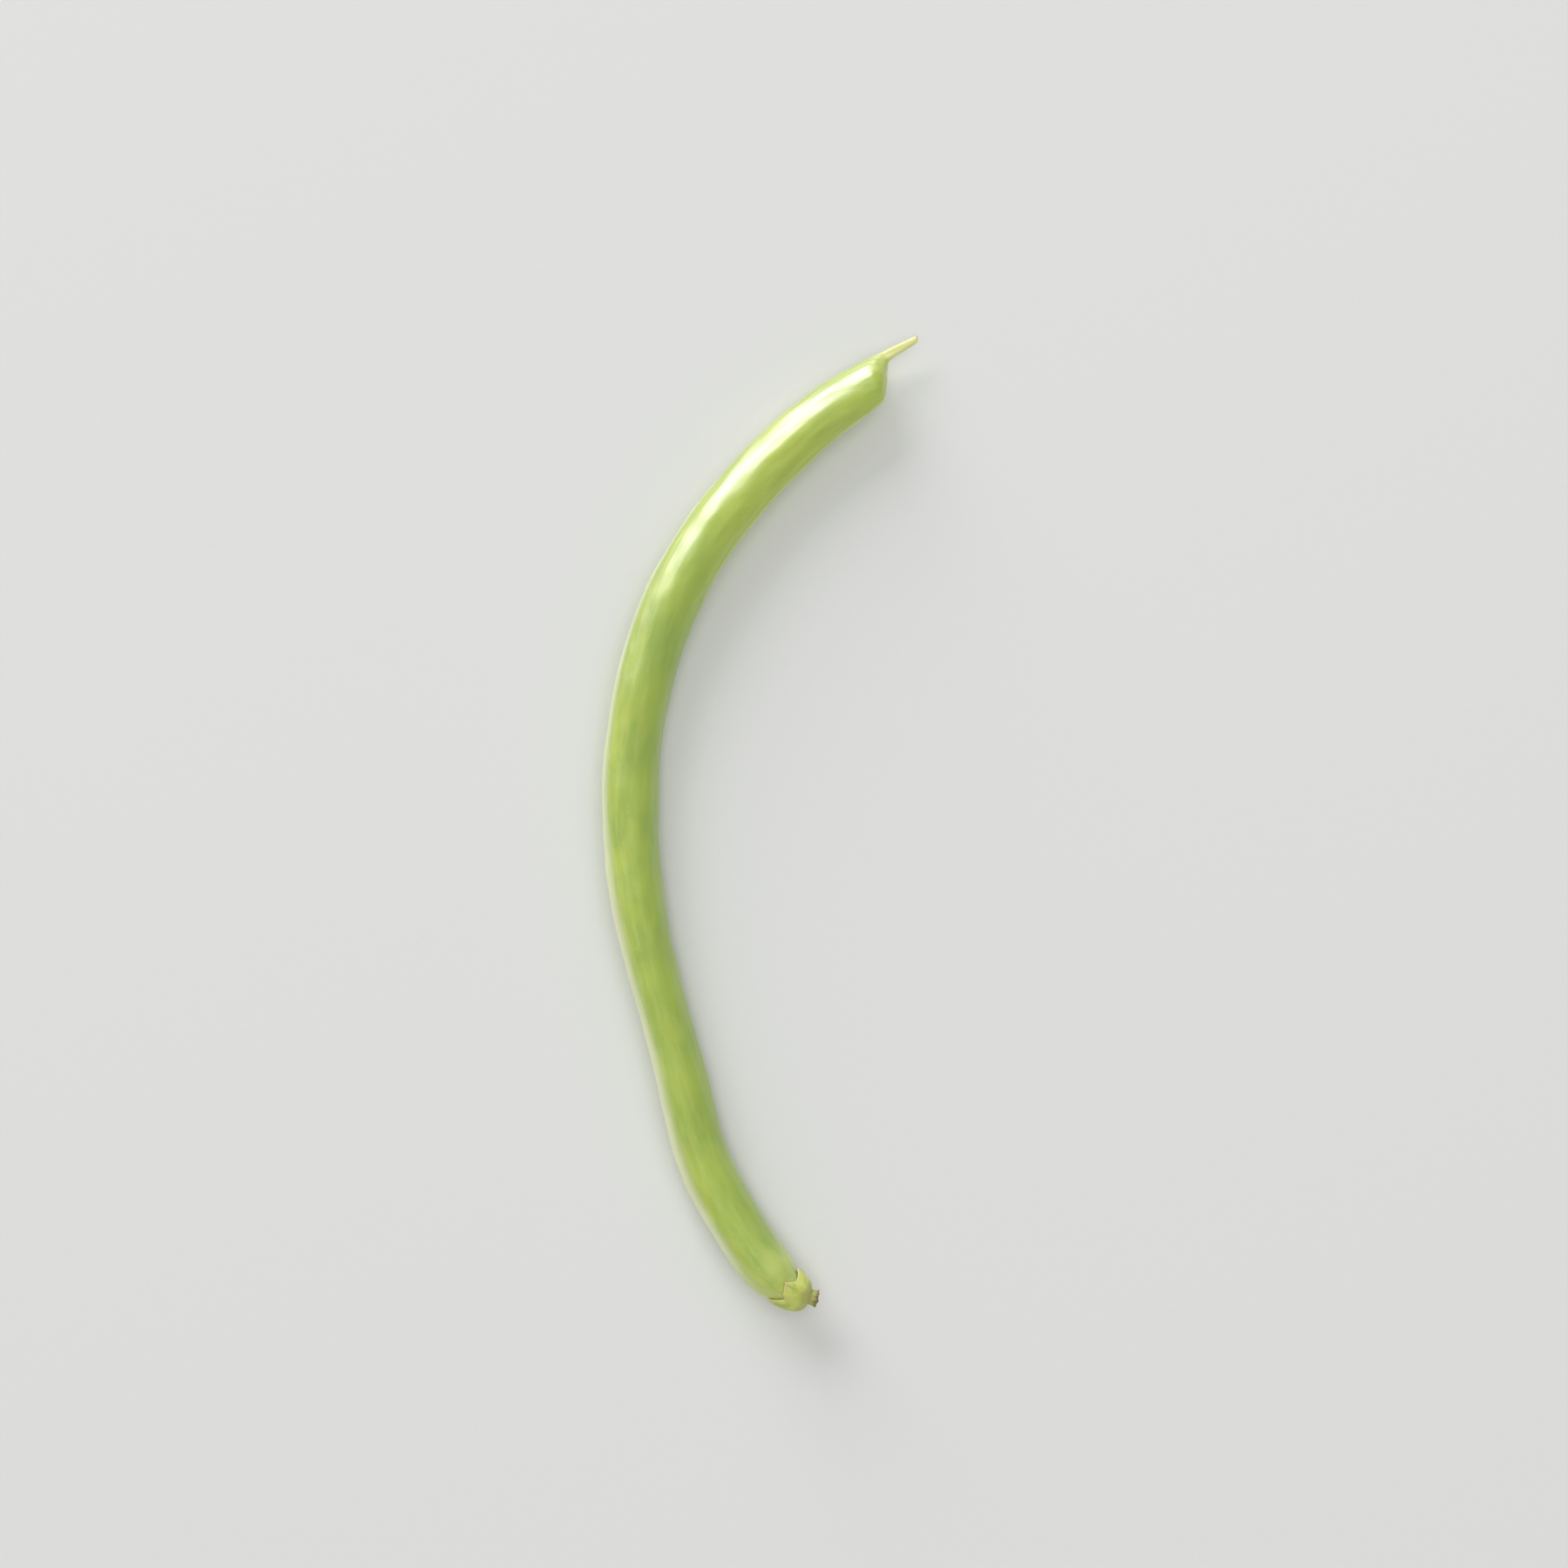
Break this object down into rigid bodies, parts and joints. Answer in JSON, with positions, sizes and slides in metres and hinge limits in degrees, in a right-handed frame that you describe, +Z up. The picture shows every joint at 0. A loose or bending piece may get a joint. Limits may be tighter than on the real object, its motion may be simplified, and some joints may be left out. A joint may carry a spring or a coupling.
{
  "type": "green bean",
  "caption": "One bowed green bean pod lying on its side, with a thin beak at its tip and a pale calyx and snapped stalk at its stem end.",
  "frame": {"origin": "bottom centre of the bean's box, on the surface that the bean lies on", "axes": "+Y along the bean's chord, towards the beaked tip; +Z up; the bean bows towards -X"},
  "size_m": [0.0458, 0.1416, 0.0083],
  "materials": {
    "pod": "satin",
    "calyx": "matte",
    "stalk": "matte"
  },
  "bodies": {
    "root": {"pod": "pod", "calyx": "calyx", "stalk": "stalk"}
  },
  "joints": []
}
